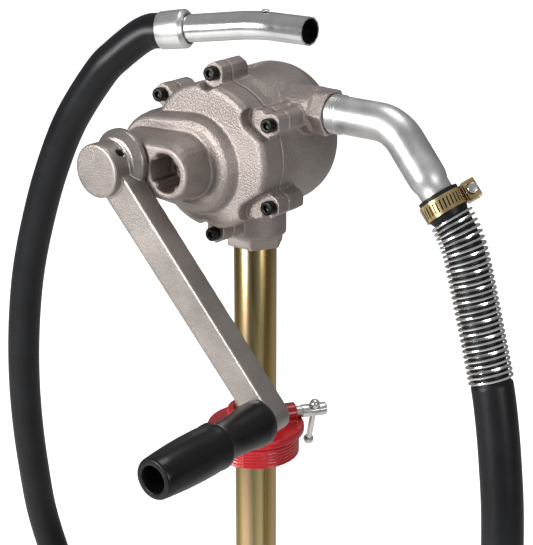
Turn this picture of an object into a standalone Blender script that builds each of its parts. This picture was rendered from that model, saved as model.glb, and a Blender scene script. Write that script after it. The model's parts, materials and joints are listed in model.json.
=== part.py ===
"""Rotary hand transfer pump for a drum: a geared vane pump on a suction tube, with a bung adapter,
a crank, an outlet elbow, and a hose that ends in a spout.

Units are metres, +Z is up. The origin is on the suction tube's axis, in the plane where the bung
adapter's flange seats on the drum's bung. The pump's shafts run along Y, and its front faces -Y.

Most of the pump is laid out in the pump frame: x to the right, y up, z out of the front cover, from
the centre of the casing. Sizes along the shafts are given as that z, and are called "fronts".
"""

import math

import bmesh
import bpy
from mathutils import Matrix, Vector

# ---- Clearances ----
GAP = 0.0003  # between touching pieces
RUN = 0.0001  # radial running clearance of a shaft in its bush

# ---- Suction tube and bung adapter ----
TUBE_RADIUS = 0.01415
TUBE_WALL = 0.0015
UPPER_TUBE_LENGTH = 0.503
LOWER_TUBE_LENGTH = 0.470
PUMP_HEIGHT = 0.203  # casing centre above the flange's seat, at rest
THREAD_RADIUS = 0.0300  # 2 inch drum bung
THREAD_PITCH = 0.00231
THREAD_TURNS = 6
THREAD_DEPTH = 0.0013
SKIRT_WALL = 0.0040
THREAD_RELIEF = 0.0023  # plain neck between the seat and the thread
FLANGE_RADIUS = THREAD_RADIUS + 0.0033
FLANGE_HEIGHT = 0.0050
COLLAR_WALL = 0.00535
COLLAR_RADIUS = TUBE_RADIUS + COLLAR_WALL
COLLAR_HEIGHT = 0.0170
COUPLING_WALL = 0.00385
COUPLING_RADIUS = TUBE_RADIUS + COUPLING_WALL
COUPLING_LENGTH = 0.036
STRAINER_WALL = 0.00285
STRAINER_RADIUS = TUBE_RADIUS + STRAINER_WALL
STRAINER_LENGTH = 0.045

# ---- Clamp screw of the adapter ----
CLAMP_ANGLE = math.radians(55)
CLAMP_HEIGHT = 0.0090
CLAMP_BOSS_RADIUS = 0.0070
CLAMP_BOSS_REACH = COLLAR_RADIUS + 0.0085
CLAMP_SCREW_RADIUS = 0.0040
CLAMP_HEAD_RADIUS = 0.0045
CLAMP_HEAD_START = CLAMP_BOSS_REACH + 0.0050
CLAMP_HEAD_END = CLAMP_HEAD_START + 0.0175
BAR_RADIUS = 0.0021
BAR_LENGTH = 0.0350  # between the centres of its end balls
BAR_BALL_RADIUS = 0.0037
BAR_BALL_SEAT = 0.0055  # from the screw's axis to the ball that rests in the head
BAR_TILT = math.radians(22)

# ---- Hose and spout ----
HOSE_RADIUS = 0.0128
HOSE_WALL = 0.0026
SPOUT_RADIUS = HOSE_RADIUS - 0.0027
HOLDER_RIB_RADIUS = SPOUT_RADIUS + GAP

# ---- Casing ----
CHAMBER_RADIUS = 0.0370
CASING_WALL = 0.0090
CASING_RADIUS = CHAMBER_RADIUS + CASING_WALL
CASING_FRONT = 0.0300  # parting plane
CHAMBER_BACK = -0.0250
CASING_BACK = -0.0340
BACK_ROUNDING = 0.0110
DOME_RISE = 0.0024  # of the back's centre above the front's
DOME_FRONT = -0.0020
LOBE_RADIUS = 0.0070
LOBE_BACK = 0.0145
SCREW_CIRCLE = CHAMBER_RADIUS + 0.0143
RING_CIRCLE = CHAMBER_RADIUS + 0.0047  # cover O-ring
RING_SECTION = 0.00125

# ---- Shafts, in the pump frame ----
SHAFT_HEIGHT = -0.0050
ROTOR_X = -0.0070
CENTRE_DISTANCE = 0.0360
CRANK_X = ROTOR_X - CENTRE_DISTANCE

# ---- Front cover ----
GEAR_BACK = 0.0410
GEAR_WIDTH = 0.0100
SEAT_FRONT = 0.0400  # where the cover screws' heads seat
FACE_FRONT = 0.0487
LEDGE_FRONT = GEAR_BACK + GEAR_WIDTH + 0.0050
BOSS_FRONT = LEDGE_FRONT + 0.0230
FACE_CHAMFER = 0.0035
LEDGE_RADIUS = 0.0318
LEDGE_X = -0.0055
LEDGE_TAPER = 0.0036  # how much less its left end's radius is
BOSS_RADIUS = 0.0202
EAR_X = -0.0380
EAR_RADIUS = 0.0288
EAR_BACK = 0.0220
HOLDER_RIB_HEIGHT = 0.0018
HOLDER_RADIUS = HOLDER_RIB_RADIUS + HOLDER_RIB_HEIGHT  # bore that the spout parks in
HOLDER_RIB_WIDTH = 0.0032
HOLDER_DEPTH = 0.0210
NOTCH_RADIUS = 0.0095
PAD_RADIUS = 0.0048
PAD_RING = SCREW_CIRCLE - 0.0051  # circle that the two right-hand screws' pads lead in to

# ---- Cover screws, M5 ----
SCREW_RADIUS = 0.0025
SCREW_HEAD_RADIUS = 0.0045
SCREW_HEAD_HEIGHT = 0.0050
SCREW_SOCKET_RADIUS = 0.0023
SCREW_SOCKET_DEPTH = 0.0025
SCREW_END = 0.0175

# ---- Gear case ----
MODULE = 0.0020
CRANK_TEETH = 16
ROTOR_TEETH = 20
BACKLASH = 0.0006
GEAR_ROOM = 0.0015  # around and in front of the gears
PLATE_FRONT = 0.0380
PLATE_WALL = 0.0035  # how far the bearing plate reaches past the gears' room

# ---- Shafts, bushes and seal ----
CRANK_SHAFT_RADIUS = 0.0070
CRANK_SHAFT_FRONT = BOSS_FRONT + 0.0190
BUSH_WALL = 0.0025
CRANK_BUSH_LENGTH = 0.0180
SEAL_WALL = 0.0045
SEAL_WIDTH = 0.0050
ROTOR_SHAFT_RADIUS = 0.0060
REAR_BUSH_LENGTH = 0.0050

# ---- Rotor and vanes ----
ROTOR_CLEARANCE = 0.0004  # to the chamber's wall, where they are nearest
ROTOR_RADIUS = CHAMBER_RADIUS - math.hypot(ROTOR_X, SHAFT_HEIGHT) - ROTOR_CLEARANCE
VANE_COUNT = 4
VANE_THICKNESS = 0.0040
VANE_HEIGHT = 0.0130

# ---- Crank ----
HUB_RADIUS = CRANK_SHAFT_RADIUS + 0.0100
HUB_FRONT = BOSS_FRONT + 0.0220
HUB_FLANGE_RADIUS = HUB_RADIUS + 0.0030
HUB_FLANGE_WIDTH = 0.0050
HUB_FLANGE_OFFSET = 0.0050  # towards the set screw
HUB_FILLET = 0.0035
ARM_ANGLE = math.radians(-47.1)
ARM_LENGTH = 0.1815
ARM_ROOT_WIDTH = 0.0225
ARM_TIP_WIDTH = 0.0196
ARM_FRONT = BOSS_FRONT + 0.0160
SET_SCREW_RADIUS = 0.0024
SET_SCREW_LENGTH = 0.0050
SET_SCREW_FRONT = BOSS_FRONT + 0.0125
SET_SCREW_ANGLE = math.radians(45)

# ---- Grip ----
GRIP_LENGTH = 0.0945
GRIP_HOLLOW_RADIUS = 0.0083
GRIP_HOLLOW_DEPTH = 0.0280
SPINDLE_RADIUS = 0.0040
SPINDLE_HEAD_RADIUS = 0.0064
SPINDLE_HEAD_HEIGHT = 0.0050
WASHER_RADIUS = 0.0072
WASHER_THICKNESS = 0.0012

# ---- Ports ----
PORT_RADIUS = TUBE_RADIUS + 0.00625
PORT_HEX_RADIUS = TUBE_RADIUS + 0.00535
PORT_HEX_TOP = -0.0600
PORT_BOTTOM = -0.0680
TUBE_TOP = -0.0450
DUCT_RADIUS = 0.0090
OUTLET_HEIGHT = 0.0277
PIPE_SPIGOT_RADIUS = HOSE_RADIUS - HOSE_WALL  # where the hose goes over it
PIPE_RADIUS = PIPE_SPIGOT_RADIUS + 0.0015
OUTLET_RADIUS = PIPE_RADIUS + 0.0033
OUTLET_HEX_START = 0.0520
OUTLET_END = 0.0620

# ---- Outlet elbow ----
PIPE_WALL = 0.0020
PIPE_START = 0.0480
BEND_START = 0.0945
BEND_RADIUS = 0.0260
BEND_TURN = math.radians(50.5)
SPIGOT_START = 0.0303  # along the pipe from the end of the bend
HOSE_START = 0.0363
CLAMP_BAND_START = 0.0388
CLAMP_BAND_WIDTH = 0.0100
PIPE_END = 0.0583

# ---- Hose, spring guard and spout ----
HOSE_STEP = 0.036  # between the points of the hose's line
GUARDED_RADIUS = HOSE_RADIUS - 0.0017  # of the hose inside the spring
SPRING_WIRE_RADIUS = 0.0007
SPRING_RADIUS = HOSE_RADIUS + 0.00045
SPRING_TURNS = 31
SPRING_START = 0.0150  # along the hose
SPRING_END = 0.1160
BAND_THICKNESS = 0.0008
FERRULE_RADIUS = HOSE_RADIUS + 0.0013
FERRULE_BACK_RADIUS = HOSE_RADIUS + 0.0008
FERRULE_LENGTH = 0.0215
FERRULE_LIP = 0.0030
SPOUT_WALL = 0.0012
RIVET_RADIUS = 0.0028
RIVET_HEIGHT = 0.0014

# Points that the hose passes through after the outlet pipe, in the row's frame
HOSE_ROUTE = [
    (0.1640, -0.0010, 0.1460),
    (0.1765, -0.0040, 0.1090),
    (0.1868, -0.0070, 0.0780),
    (0.1955, -0.0110, 0.0390),
    (0.2020, -0.0150, -0.0050),
    (0.2070, -0.0200, -0.0870),
    (0.2040, -0.0190, -0.1670),
    (0.1870, -0.0110, -0.2470),
    (0.1530, 0.0030, -0.3200),
    (0.1000, 0.0200, -0.3780),
    (0.0340, 0.0370, -0.4180),
    (-0.0400, 0.0530, -0.4340),
    (-0.1130, 0.0650, -0.4220),
    (-0.1790, 0.0720, -0.3860),
    (-0.2330, 0.0750, -0.3320),
    (-0.2700, 0.0720, -0.2670),
    (-0.2901, 0.0650, -0.1996),
    (-0.2904, 0.0570, -0.1477),
    (-0.2888, 0.0510, -0.0976),
    (-0.2848, 0.0470, -0.0492),
    (-0.2785, 0.0450, -0.0024),
    (-0.2688, 0.0440, 0.0434),
    (-0.2545, 0.0440, 0.0884),
    (-0.2369, 0.0445, 0.1322),
    (-0.2148, 0.0460, 0.1747),
    (-0.1855, 0.0500, 0.2145),
    (-0.1700, 0.0545, 0.2300),
    (-0.1550, 0.0598, 0.2425),
]
HOSE_END = (-0.1195, 0.0699, 0.2513)
HOSE_END_DIRECTION = (0.958, 0.252, 0.140)
SPOUT_ROUTE = [
    (-0.0741, 0.0812, 0.2573),
    (-0.0662, 0.0830, 0.2579),
    (-0.0582, 0.0843, 0.2583),
    (-0.0490, 0.0846, 0.2586),
    (-0.0193, 0.0834, 0.2591),
]
SPOUT_BEND = 2  # the point of that route with the rivet on top


# ---- Scene ----
for old in list(bpy.data.objects):
    bpy.data.objects.remove(old, do_unlink=True)

parts = bpy.data.collections.new("hand_transfer_pump")
tools = bpy.data.collections.new("cutters")
bpy.context.scene.collection.children.link(parts)
bpy.context.scene.collection.children.link(tools)


def empty(name, parent=None, location=(0, 0, 0), rotation=(0, 0, 0)):
    """A frame that pieces are placed in."""
    frame = bpy.data.objects.new(name, None)
    parts.objects.link(frame)
    frame.parent = parent
    frame.location = location
    frame.rotation_euler = rotation
    return frame


def facing(name, origin, z_axis, x_axis):
    """A frame at origin whose Z runs along z_axis, and its X as near x_axis as that allows."""
    z = Vector(z_axis).normalized()
    y = z.cross(Vector(x_axis)).normalized()
    turn = Matrix((y.cross(z), y, z)).transposed()
    return empty(name, None, origin, turn.to_euler())


FORWARD = (math.radians(90), 0, 0)  # turns Z to the pump's front and leaves X
SIDEWAYS = (0, math.radians(90), 0)  # turns Z to +X
pump = empty("pump_frame", None, (0, 0, PUMP_HEIGHT), FORWARD)
upright = empty("pump_upright", None, (0, 0, PUMP_HEIGHT))
crank = empty("crank_axis", pump, (CRANK_X, SHAFT_HEIGHT, 0))
arm = empty("arm_axis", crank, (0, 0, 0), (0, 0, ARM_ANGLE))
grip = empty("grip_axis", arm, (ARM_LENGTH, 0, 0))
rotor = empty("rotor_axis", pump, (ROTOR_X, SHAFT_HEIGHT, 0))
adapter = empty("adapter_frame")

FINISHES = {  # colour, roughness, metallic
    "cast_aluminium": ((0.53, 0.49, 0.47), 0.45, 0.9),
    "machined_steel": ((0.55, 0.56, 0.58), 0.30, 1.0),
    "black_oxide": ((0.02, 0.02, 0.02), 0.40, 0.8),
    "yellow_zinc": ((0.62, 0.48, 0.24), 0.28, 1.0),
    "bright_zinc": ((0.68, 0.70, 0.71), 0.25, 1.0),
    "red_paint": ((0.62, 0.02, 0.03), 0.35, 0.0),
    "black_plastic": ((0.015, 0.015, 0.017), 0.30, 0.0),
    "black_rubber": ((0.012, 0.012, 0.014), 0.50, 0.0),
    "bronze": ((0.50, 0.33, 0.14), 0.35, 1.0),
    "cast_iron": ((0.22, 0.22, 0.23), 0.50, 0.9),
    "carbon_vane": ((0.05, 0.05, 0.06), 0.55, 0.0),
}


def finish(piece, name):
    """Gives a piece its own material."""
    colour, roughness, metallic = FINISHES[name]
    material = bpy.data.materials.new(f"{piece.name}_{name}")
    material.use_nodes = True
    shader = material.node_tree.nodes["Principled BSDF"]
    shader.inputs["Base Color"].default_value = (*colour, 1)
    shader.inputs["Roughness"].default_value = roughness
    shader.inputs["Metallic"].default_value = metallic
    piece.data.materials.clear()
    piece.data.materials.append(material)


def place(piece, collection, parent, location, rotation):
    collection.objects.link(piece)
    piece.parent = parent
    piece.location = location
    piece.rotation_euler = rotation
    return piece


def part(name, mesh, look, parent=None, location=(0, 0, 0), rotation=(0, 0, 0)):
    """A named piece of the pump."""
    piece = place(bpy.data.objects.new(name, mesh), parts, parent, location, rotation)
    finish(piece, look)
    return piece


def tool(name, mesh, parent=None, location=(0, 0, 0), rotation=(0, 0, 0)):
    """A shape that is joined to a piece or cut from it."""
    shape = place(bpy.data.objects.new(name, mesh), tools, parent, location, rotation)
    shape.hide_render = True
    shape.display_type = "WIRE"
    return shape


def combine(piece, shape, operation):
    step = piece.modifiers.new(shape.name, "BOOLEAN")
    step.operation = operation
    step.object = shape
    step.solver = "EXACT"


def join(piece, *shapes):
    for shape in shapes:
        combine(piece, shape, "UNION")


def cut(piece, *shapes):
    for shape in shapes:
        combine(piece, shape, "DIFFERENCE")


# ---- Meshes ----
def rod(radius, low, high, sides=32, end_radius=None):
    """A round or many-sided bar along Z."""
    mesh = bpy.data.meshes.new("rod")
    bm = bmesh.new()
    bmesh.ops.create_cone(
        bm,
        cap_ends=True,
        segments=sides,
        radius1=radius,
        radius2=radius if end_radius is None else end_radius,
        depth=high - low,
    )
    bmesh.ops.translate(bm, verts=bm.verts, vec=(0, 0, (low + high) / 2))
    bm.to_mesh(mesh)
    bm.free()
    return mesh


def block(low, high):
    """A box between two corners."""
    low, high = Vector(low), Vector(high)
    mesh = bpy.data.meshes.new("block")
    bm = bmesh.new()
    bmesh.ops.create_cube(bm, size=1)
    bmesh.ops.scale(bm, verts=bm.verts, vec=high - low)
    bmesh.ops.translate(bm, verts=bm.verts, vec=(low + high) / 2)
    bm.to_mesh(mesh)
    bm.free()
    return mesh


def turned(piece, steps=36):
    """Turns a piece's profile round its Z axis."""
    screw = piece.modifiers.new("turn", "SCREW")
    screw.axis = "Z"
    screw.steps = steps
    screw.render_steps = steps
    screw.use_merge_vertices = True
    screw.merge_threshold = 0.00001
    return piece


def profile(points, closed):
    """A half section, from top to bottom down its outer side, as (radius, height)."""
    mesh = bpy.data.meshes.new("profile")
    count = len(points)
    edges = [(i, i + 1) for i in range(count - 1)]
    if closed:
        edges.append((count - 1, 0))
    mesh.from_pydata([(radius, 0, height) for radius, height in points], edges, [])
    return mesh


def ring(inner, outer, low, high):
    """The half section of a plain ring."""
    return profile([(inner, high), (outer, high), (outer, low), (inner, low)], closed=True)


def baked(piece):
    """The mesh of an object as its modifiers or its curve make it, with its loose caps welded."""
    graph = bpy.context.evaluated_depsgraph_get()
    mesh = bpy.data.meshes.new_from_object(piece.evaluated_get(graph))
    bm = bmesh.new()
    bm.from_mesh(mesh)
    bmesh.ops.remove_doubles(bm, verts=bm.verts, dist=0.00001)
    bm.to_mesh(mesh)
    bm.free()
    data = piece.data
    bpy.data.objects.remove(piece)
    if isinstance(data, bpy.types.Curve):
        bpy.data.curves.remove(data)
    return mesh


def prism(outline, low, high):
    """A flat outline, given as (x, y) points, made solid between two heights."""
    curve = bpy.data.curves.new("outline", "CURVE")
    curve.dimensions = "2D"
    curve.fill_mode = "BOTH"
    curve.extrude = (high - low) / 2
    spline = curve.splines.new("POLY")
    spline.points.add(len(outline) - 1)
    for point, (x, y) in zip(spline.points, outline, strict=True):
        point.co = (x, y, 0, 1)
    spline.use_cyclic_u = True
    shape = bpy.data.objects.new("outline", curve)
    tools.objects.link(shape)
    mesh = baked(shape)
    mesh.transform(Matrix.Translation((0, 0, (low + high) / 2)))
    return mesh


def loft(sections):
    """A solid through outlines of equal count, each given with its height, lowest first."""
    bm = bmesh.new()
    rings = [[bm.verts.new((x, y, z)) for x, y in outline] for outline, z in sections]
    for lower, upper in zip(rings, rings[1:]):
        for i, corner in enumerate(lower):
            bm.faces.new((lower[i - 1], corner, upper[i], upper[i - 1]))
    bm.faces.new(rings[0][::-1])
    bm.faces.new(rings[-1])
    bmesh.ops.remove_doubles(bm, verts=bm.verts, dist=0.00001)
    mesh = bpy.data.meshes.new("loft")
    bm.to_mesh(mesh)
    bm.free()
    return mesh


def pipe(line, radius, factors=None, resolution=4):
    """A solid round bar along a line; factors scale its radius at each point."""
    curve = bpy.data.curves.new("line", "CURVE")
    curve.dimensions = "3D"
    curve.bevel_depth = radius
    curve.bevel_resolution = resolution
    curve.use_fill_caps = True
    spline = curve.splines.new("POLY")
    spline.points.add(len(line) - 1)
    for i, (point, place_) in enumerate(zip(spline.points, line, strict=True)):
        point.co = (*place_, 1)
        point.radius = factors[i] if factors else 1
    return curve


def pipe_mesh(line, radius, factors=None, resolution=4):
    shape = bpy.data.objects.new("line", pipe(line, radius, factors, resolution))
    tools.objects.link(shape)
    return baked(shape)


# ---- Outlines ----
def reach(angle, centre, radius):
    """How far a ray from the origin goes before it leaves a circle for good, or 0."""
    distance = math.hypot(*centre)
    off = angle - math.atan2(centre[1], centre[0])
    across = distance * math.sin(off)
    if abs(across) > radius:
        return 0.0
    return max(0.0, distance * math.cos(off) + math.sqrt(radius**2 - across**2))


def outline_angles(circles, count=60):
    """Even angles, with a closer pair at each side of every small circle."""
    angles = [2 * math.pi * i / count for i in range(count)]
    for (x, y), radius in circles:
        if radius < 0.010:
            edge = math.asin(radius / math.hypot(x, y))
            middle = math.atan2(y, x)
            for side in (-1, 1):
                angles += [middle + side * (edge - 0.002), middle + side * (edge + 0.004)]
    angles = sorted(angle % (2 * math.pi) for angle in angles)
    kept = [angles[0]]
    for angle in angles[1:]:
        if angle - kept[-1] > 0.003:
            kept.append(angle)
    return kept


def casing_outline(circles, angles=None):
    """The outline round a set of circles, each joined to the middle by a web."""
    angles = angles or outline_angles(circles)
    far = [max(reach(angle, centre, radius) for centre, radius in circles) for angle in angles]
    return [(d * math.cos(angle), d * math.sin(angle)) for d, angle in zip(far, angles, strict=True)]


def slot(left, left_radius, right, right_radius, height=0.0, count=14):
    """An outline round two circles on a level line."""
    lean = math.asin((left_radius - right_radius) / (right - left))
    outline = []
    for centre, radius, start, end in (
        (right, right_radius, lean - math.pi / 2, math.pi / 2 - lean),
        (left, left_radius, math.pi / 2 - lean, 3 * math.pi / 2 + lean),
    ):
        for i in range(count + 1):
            angle = start + (end - start) * i / count
            outline.append((centre + radius * math.cos(angle), height + radius * math.sin(angle)))
    return outline


def gear_outline(teeth, first_angle):
    """A spur gear's outline, with straight flanks and a tooth at first_angle."""
    pitch_radius = MODULE * teeth / 2
    half = math.pi * MODULE / 4 - BACKLASH / 2
    slope = math.tan(math.radians(20))
    tip, root = 0.9 * MODULE, 1.15 * MODULE
    outline = []
    for i in range(teeth):
        middle = first_angle + 2 * math.pi * i / teeth
        for side, height in ((-1, -root), (-1, tip), (1, tip), (1, -root)):
            radius = pitch_radius + height
            angle = middle + side * (half - slope * height) / radius
            outline.append((radius * math.cos(angle), radius * math.sin(angle)))
    return outline


# ---- Lines ----
def smooth_line(points, step):
    """Points about a step apart on a smooth curve through the given points."""
    knots = [Vector(p) for p in points]
    knots = [2 * knots[0] - knots[1], *knots, 2 * knots[-1] - knots[-2]]
    dense = []
    for a, b, c, d in zip(knots, knots[1:], knots[2:], knots[3:]):
        for i in range(24):
            t = i / 24
            dense.append(
                0.5
                * (
                    2 * b
                    + (c - a) * t
                    + (2 * a - 5 * b + 4 * c - d) * t**2
                    + (3 * b - a - 3 * c + d) * t**3
                )
            )
    dense.append(knots[-2])
    return spaced(dense, step)


def spaced(line, step):
    """The same line with points at even distances, about a step apart."""
    along = [0.0]
    for a, b in zip(line, line[1:]):
        along.append(along[-1] + (b - a).length)
    count = max(2, round(along[-1] / step))
    even, k = [], 0
    for i in range(count + 1):
        target = along[-1] * i / count
        while k < len(line) - 2 and along[k + 1] < target:
            k += 1
        t = (target - along[k]) / max(along[k + 1] - along[k], 1e-9)
        even.append(line[k].lerp(line[k + 1], min(max(t, 0), 1)))
    return even


def line_length(line):
    return sum((b - a).length for a, b in zip(line, line[1:]))


# ---- Where the cover screws stand ----
def on_circle(degrees, radius=SCREW_CIRCLE):
    return (radius * math.cos(math.radians(degrees)), radius * math.sin(math.radians(degrees)))


ledge_end = LEDGE_RADIUS - LEDGE_TAPER
ear_screw = (EAR_X - ledge_end - SCREW_HEAD_RADIUS - 0.001, SHAFT_HEIGHT)
shoulder_screw = (EAR_X - 0.0045, SHAFT_HEIGHT + ledge_end + SCREW_HEAD_RADIUS + 0.0045)
screw_places = [
    on_circle(90),
    on_circle(30),
    on_circle(-30),
    on_circle(-90),
    ear_screw,
    shoulder_screw,
]
pad_places = [on_circle(39, PAD_RING), on_circle(-43, PAD_RING)]  # one beside each right-hand screw
lobes = [(place_, LOBE_RADIUS) for place_ in screw_places]
pads = [(place_, PAD_RADIUS) for place_ in pad_places]
ear = [((EAR_X + i * 0.006, SHAFT_HEIGHT), EAR_RADIUS) for i in range(6)]
body_circle = [((0, 0), CASING_RADIUS)]
clamped_outline = casing_outline(body_circle + ear + lobes + pads)


def screw_holes(name, low, high):
    """One cutter for each cover screw."""
    radius = SCREW_RADIUS + GAP
    return [
        tool(f"{name}_{i}", rod(radius, low, high, 10), pump, (x, y, 0))
        for i, (x, y) in enumerate(screw_places)
    ]


# ---- Front cover ----
def build_front_cover():
    back = CASING_FRONT + GAP
    cover = part("front_cover", prism(clamped_outline, back, SEAT_FRONT), "cast_aluminium", pump)
    around = outline_angles(face_circles(0.0))
    face = [
        (casing_outline(face_circles(inset), around), height)
        for inset, height in (
            (0.002, SEAT_FRONT - 0.001),
            (0.0, SEAT_FRONT),
            (0.0, FACE_FRONT - FACE_CHAMFER),
            (0.3 * FACE_CHAMFER, FACE_FRONT - 0.3 * FACE_CHAMFER),
            (FACE_CHAMFER, FACE_FRONT),
        )
    ]
    disc = tool("cover_disc", loft(face), pump)
    ledge = tool(
        "cover_ledge",
        loft([(ledge_outline(inset), height) for inset, height in LEDGE_SHAPE]),
        pump,
    )
    boss = tool(
        "cover_boss",
        loft([(boss_outline(inset), height) for inset, height in BOSS_SHAPE]),
        pump,
    )
    notches = [
        tool(f"notch_{i}", rod(NOTCH_RADIUS, SEAT_FRONT, BOSS_FRONT, 20), pump, (*place_, 0))
        for i, place_ in enumerate(screw_places)
        if i in (0, 3, 5)
    ]
    for screw, pad in zip(screw_places[1:3], pad_places, strict=True):
        away = Vector(pad) - Vector(screw)
        outline = slot(0, NOTCH_RADIUS, away.length, NOTCH_RADIUS - 0.0015, 0, 9)
        turn = (0, 0, math.atan2(away.y, away.x))
        notches.append(tool("long_notch", prism(outline, SEAT_FRONT, BOSS_FRONT), pump, (*screw, 0), turn))
    join(cover, disc)
    cut(cover, *notches)
    join(cover, ledge, boss)
    gear_front = GEAR_BACK + GEAR_WIDTH + GEAR_ROOM
    gear_room = slot(CRANK_X, gear_tip(CRANK_TEETH), ROTOR_X, gear_tip(ROTOR_TEETH), SHAFT_HEIGHT)
    cut(cover, tool("gear_room", prism(gear_room, PLATE_FRONT, gear_front), pump))
    plate_room = plate_outline(GAP)
    cut(cover, tool("plate_room", prism(plate_room, back - 0.001, PLATE_FRONT + GAP), pump))
    cut(cover, *screw_holes("cover_hole", back - 0.001, SEAT_FRONT + 0.001))
    bush_radius = CRANK_SHAFT_RADIUS + RUN + BUSH_WALL + GAP
    seal_radius = CRANK_SHAFT_RADIUS + RUN + SEAL_WALL + GAP
    seal_back = BOSS_FRONT - SEAL_WIDTH - GAP
    cut(
        cover,
        tool("bush_bore", rod(bush_radius, gear_front - 0.001, BOSS_FRONT - 0.001, 40), crank),
        tool("seal_bore", rod(seal_radius, seal_back, BOSS_FRONT + 0.001, 40), crank),
    )
    holder_floor = BOSS_FRONT - HOLDER_DEPTH
    bore = tool("holder_bore", rod(HOLDER_RADIUS, holder_floor, BOSS_FRONT + 0.001, 40), rotor)
    for i in range(4):
        inner, outer = HOLDER_RIB_RADIUS, HOLDER_RADIUS + 0.002
        side = HOLDER_RIB_WIDTH / 2
        low, high = (inner, -side, holder_floor - 0.001), (outer, side, BOSS_FRONT - 0.001)
        turn = (0, 0, math.radians(45 + 90 * i))
        cut(bore, tool(f"holder_rib_{i}", block(low, high), rotor, (0, 0, 0), turn))
    cut(cover, bore)


def face_circles(inset):
    """The circles of the cover's raised face, moved in by inset."""
    along = [((EAR_X + i * 0.006, SHAFT_HEIGHT), EAR_RADIUS - inset) for i in range(6)]
    return along + [((0, 0), CASING_RADIUS - inset)]


LEDGE_SHAPE = [  # (inset from the ledge's radius, front)
    (0.0000, SEAT_FRONT),
    (0.0000, FACE_FRONT + 0.0002),
    (0.0018, FACE_FRONT + 0.0040),
    (0.0036, LEDGE_FRONT - 0.0013),
    (0.0072, LEDGE_FRONT),
]
BOSS_SHAPE = [
    (0.0000, FACE_FRONT),
    (0.0000, LEDGE_FRONT + 0.0006),
    (0.0013, BOSS_FRONT - 0.0060),
    (0.0028, BOSS_FRONT - 0.0016),
    (0.0047, BOSS_FRONT),
]


def ledge_outline(inset):
    left = LEDGE_RADIUS - LEDGE_TAPER - 0.5 * inset
    return slot(EAR_X, left, LEDGE_X, LEDGE_RADIUS - inset, SHAFT_HEIGHT)


def boss_outline(inset):
    """The boss draws in more above and below than at its right-hand end."""
    radius = BOSS_RADIUS - inset
    return slot(CRANK_X, radius - 0.0015, ROTOR_X - 0.0015 + 0.75 * inset, radius, SHAFT_HEIGHT)


def gear_tip(teeth):
    """The radius of the room round a gear."""
    return MODULE * (teeth / 2 + 0.9) + GEAR_ROOM


def plate_outline(clearance):
    """The outline of the bearing plate, or of the recess that it sits in."""
    left, right = gear_tip(CRANK_TEETH), gear_tip(ROTOR_TEETH)
    around = [
        (
            (CRANK_X + CENTRE_DISTANCE * i / 6, SHAFT_HEIGHT),
            left + (right - left) * i / 6 + PLATE_WALL + clearance,
        )
        for i in range(7)
    ]
    return casing_outline(around + [((0, 0), CHAMBER_RADIUS + 0.0012 + clearance)])


# ---- Rear casing ----
def build_rear_casing():
    whole = body_circle + ear + lobes + pads
    around = outline_angles(whole)
    round_back = [
        (
            CASING_RADIUS - BACK_ROUNDING * (1 - math.cos(math.radians(angle))),
            CASING_BACK + BACK_ROUNDING * (1 - math.sin(math.radians(angle))),
        )
        for angle in (90, 60, 30, 0)
    ]
    sections = [(casing_outline([((0, DOME_RISE), r)], around), z) for r, z in round_back]
    middle = [((0, 0.5 * DOME_RISE), CASING_RADIUS)]
    sections += [
        (casing_outline([((0, DOME_RISE), CASING_RADIUS)], around), DOME_FRONT),
        (casing_outline(middle, around), LOBE_BACK),
        (casing_outline(middle + lobes + pads, around), LOBE_BACK),
        (casing_outline(body_circle + lobes + pads, around), EAR_BACK),
        (casing_outline(whole, around), EAR_BACK),
        (casing_outline(whole, around), CASING_FRONT),
    ]
    casing = part("rear_casing", loft(sections), "cast_aluminium", pump)
    port_top = -CHAMBER_RADIUS - 0.003
    join(
        casing,
        tool("port_boss", rod(PORT_RADIUS, PORT_HEX_TOP, port_top, 48), upright),
        tool("port_hex", rod(PORT_HEX_RADIUS, PORT_BOTTOM, PORT_HEX_TOP + 0.001, 6), upright,
             (0, 0, 0), (0, 0, math.radians(30))),
        outlet_tool("outlet_boss", OUTLET_RADIUS, 0.030, OUTLET_HEX_START, 40),
        outlet_tool("outlet_hex", OUTLET_RADIUS + 0.0004, OUTLET_HEX_START - 0.001, OUTLET_END, 6),
    )
    chamber = tool("chamber", rod(CHAMBER_RADIUS, CHAMBER_BACK, CASING_FRONT + 0.001, 48), pump)
    bush_radius = ROTOR_SHAFT_RADIUS + RUN + BUSH_WALL + GAP
    pocket_back = CHAMBER_BACK - REAR_BUSH_LENGTH - 2 * GAP
    section = RING_SECTION + GAP
    ring_room = ring(RING_CIRCLE - section, RING_CIRCLE + section, CASING_FRONT - 2 * section,
                     CASING_FRONT + 0.001)
    tube_room = TUBE_RADIUS + GAP
    pipe_room = PIPE_RADIUS + GAP
    cut(
        casing,
        chamber,
        tool("rear_pocket", rod(bush_radius, pocket_back, CHAMBER_BACK + 0.001, 40), rotor),
        turned(tool("ring_groove", ring_room, pump), 48),
        tool("tube_socket", rod(tube_room, PORT_BOTTOM - 0.001, TUBE_TOP + GAP, 48), upright),
        tool("inlet_duct", rod(DUCT_RADIUS, PORT_BOTTOM, port_top + 0.009, 32), upright),
        outlet_tool("outlet_duct", DUCT_RADIUS, 0.012, OUTLET_END, 32),
        outlet_tool("pipe_socket", pipe_room, PIPE_START - GAP, OUTLET_END + 0.001, 48),
        *screw_holes("casing_hole", SCREW_END - 0.001, CASING_FRONT + 0.001),
    )


def outlet_tool(name, radius, start, end, sides):
    """A shape along the outlet port's axis."""
    # a six-sided one keeps a flat to the front
    turn = (0, math.radians(90), 0)
    return tool(name, rod(radius, start, end, sides), upright, (0, 0, OUTLET_HEIGHT), turn)


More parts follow.
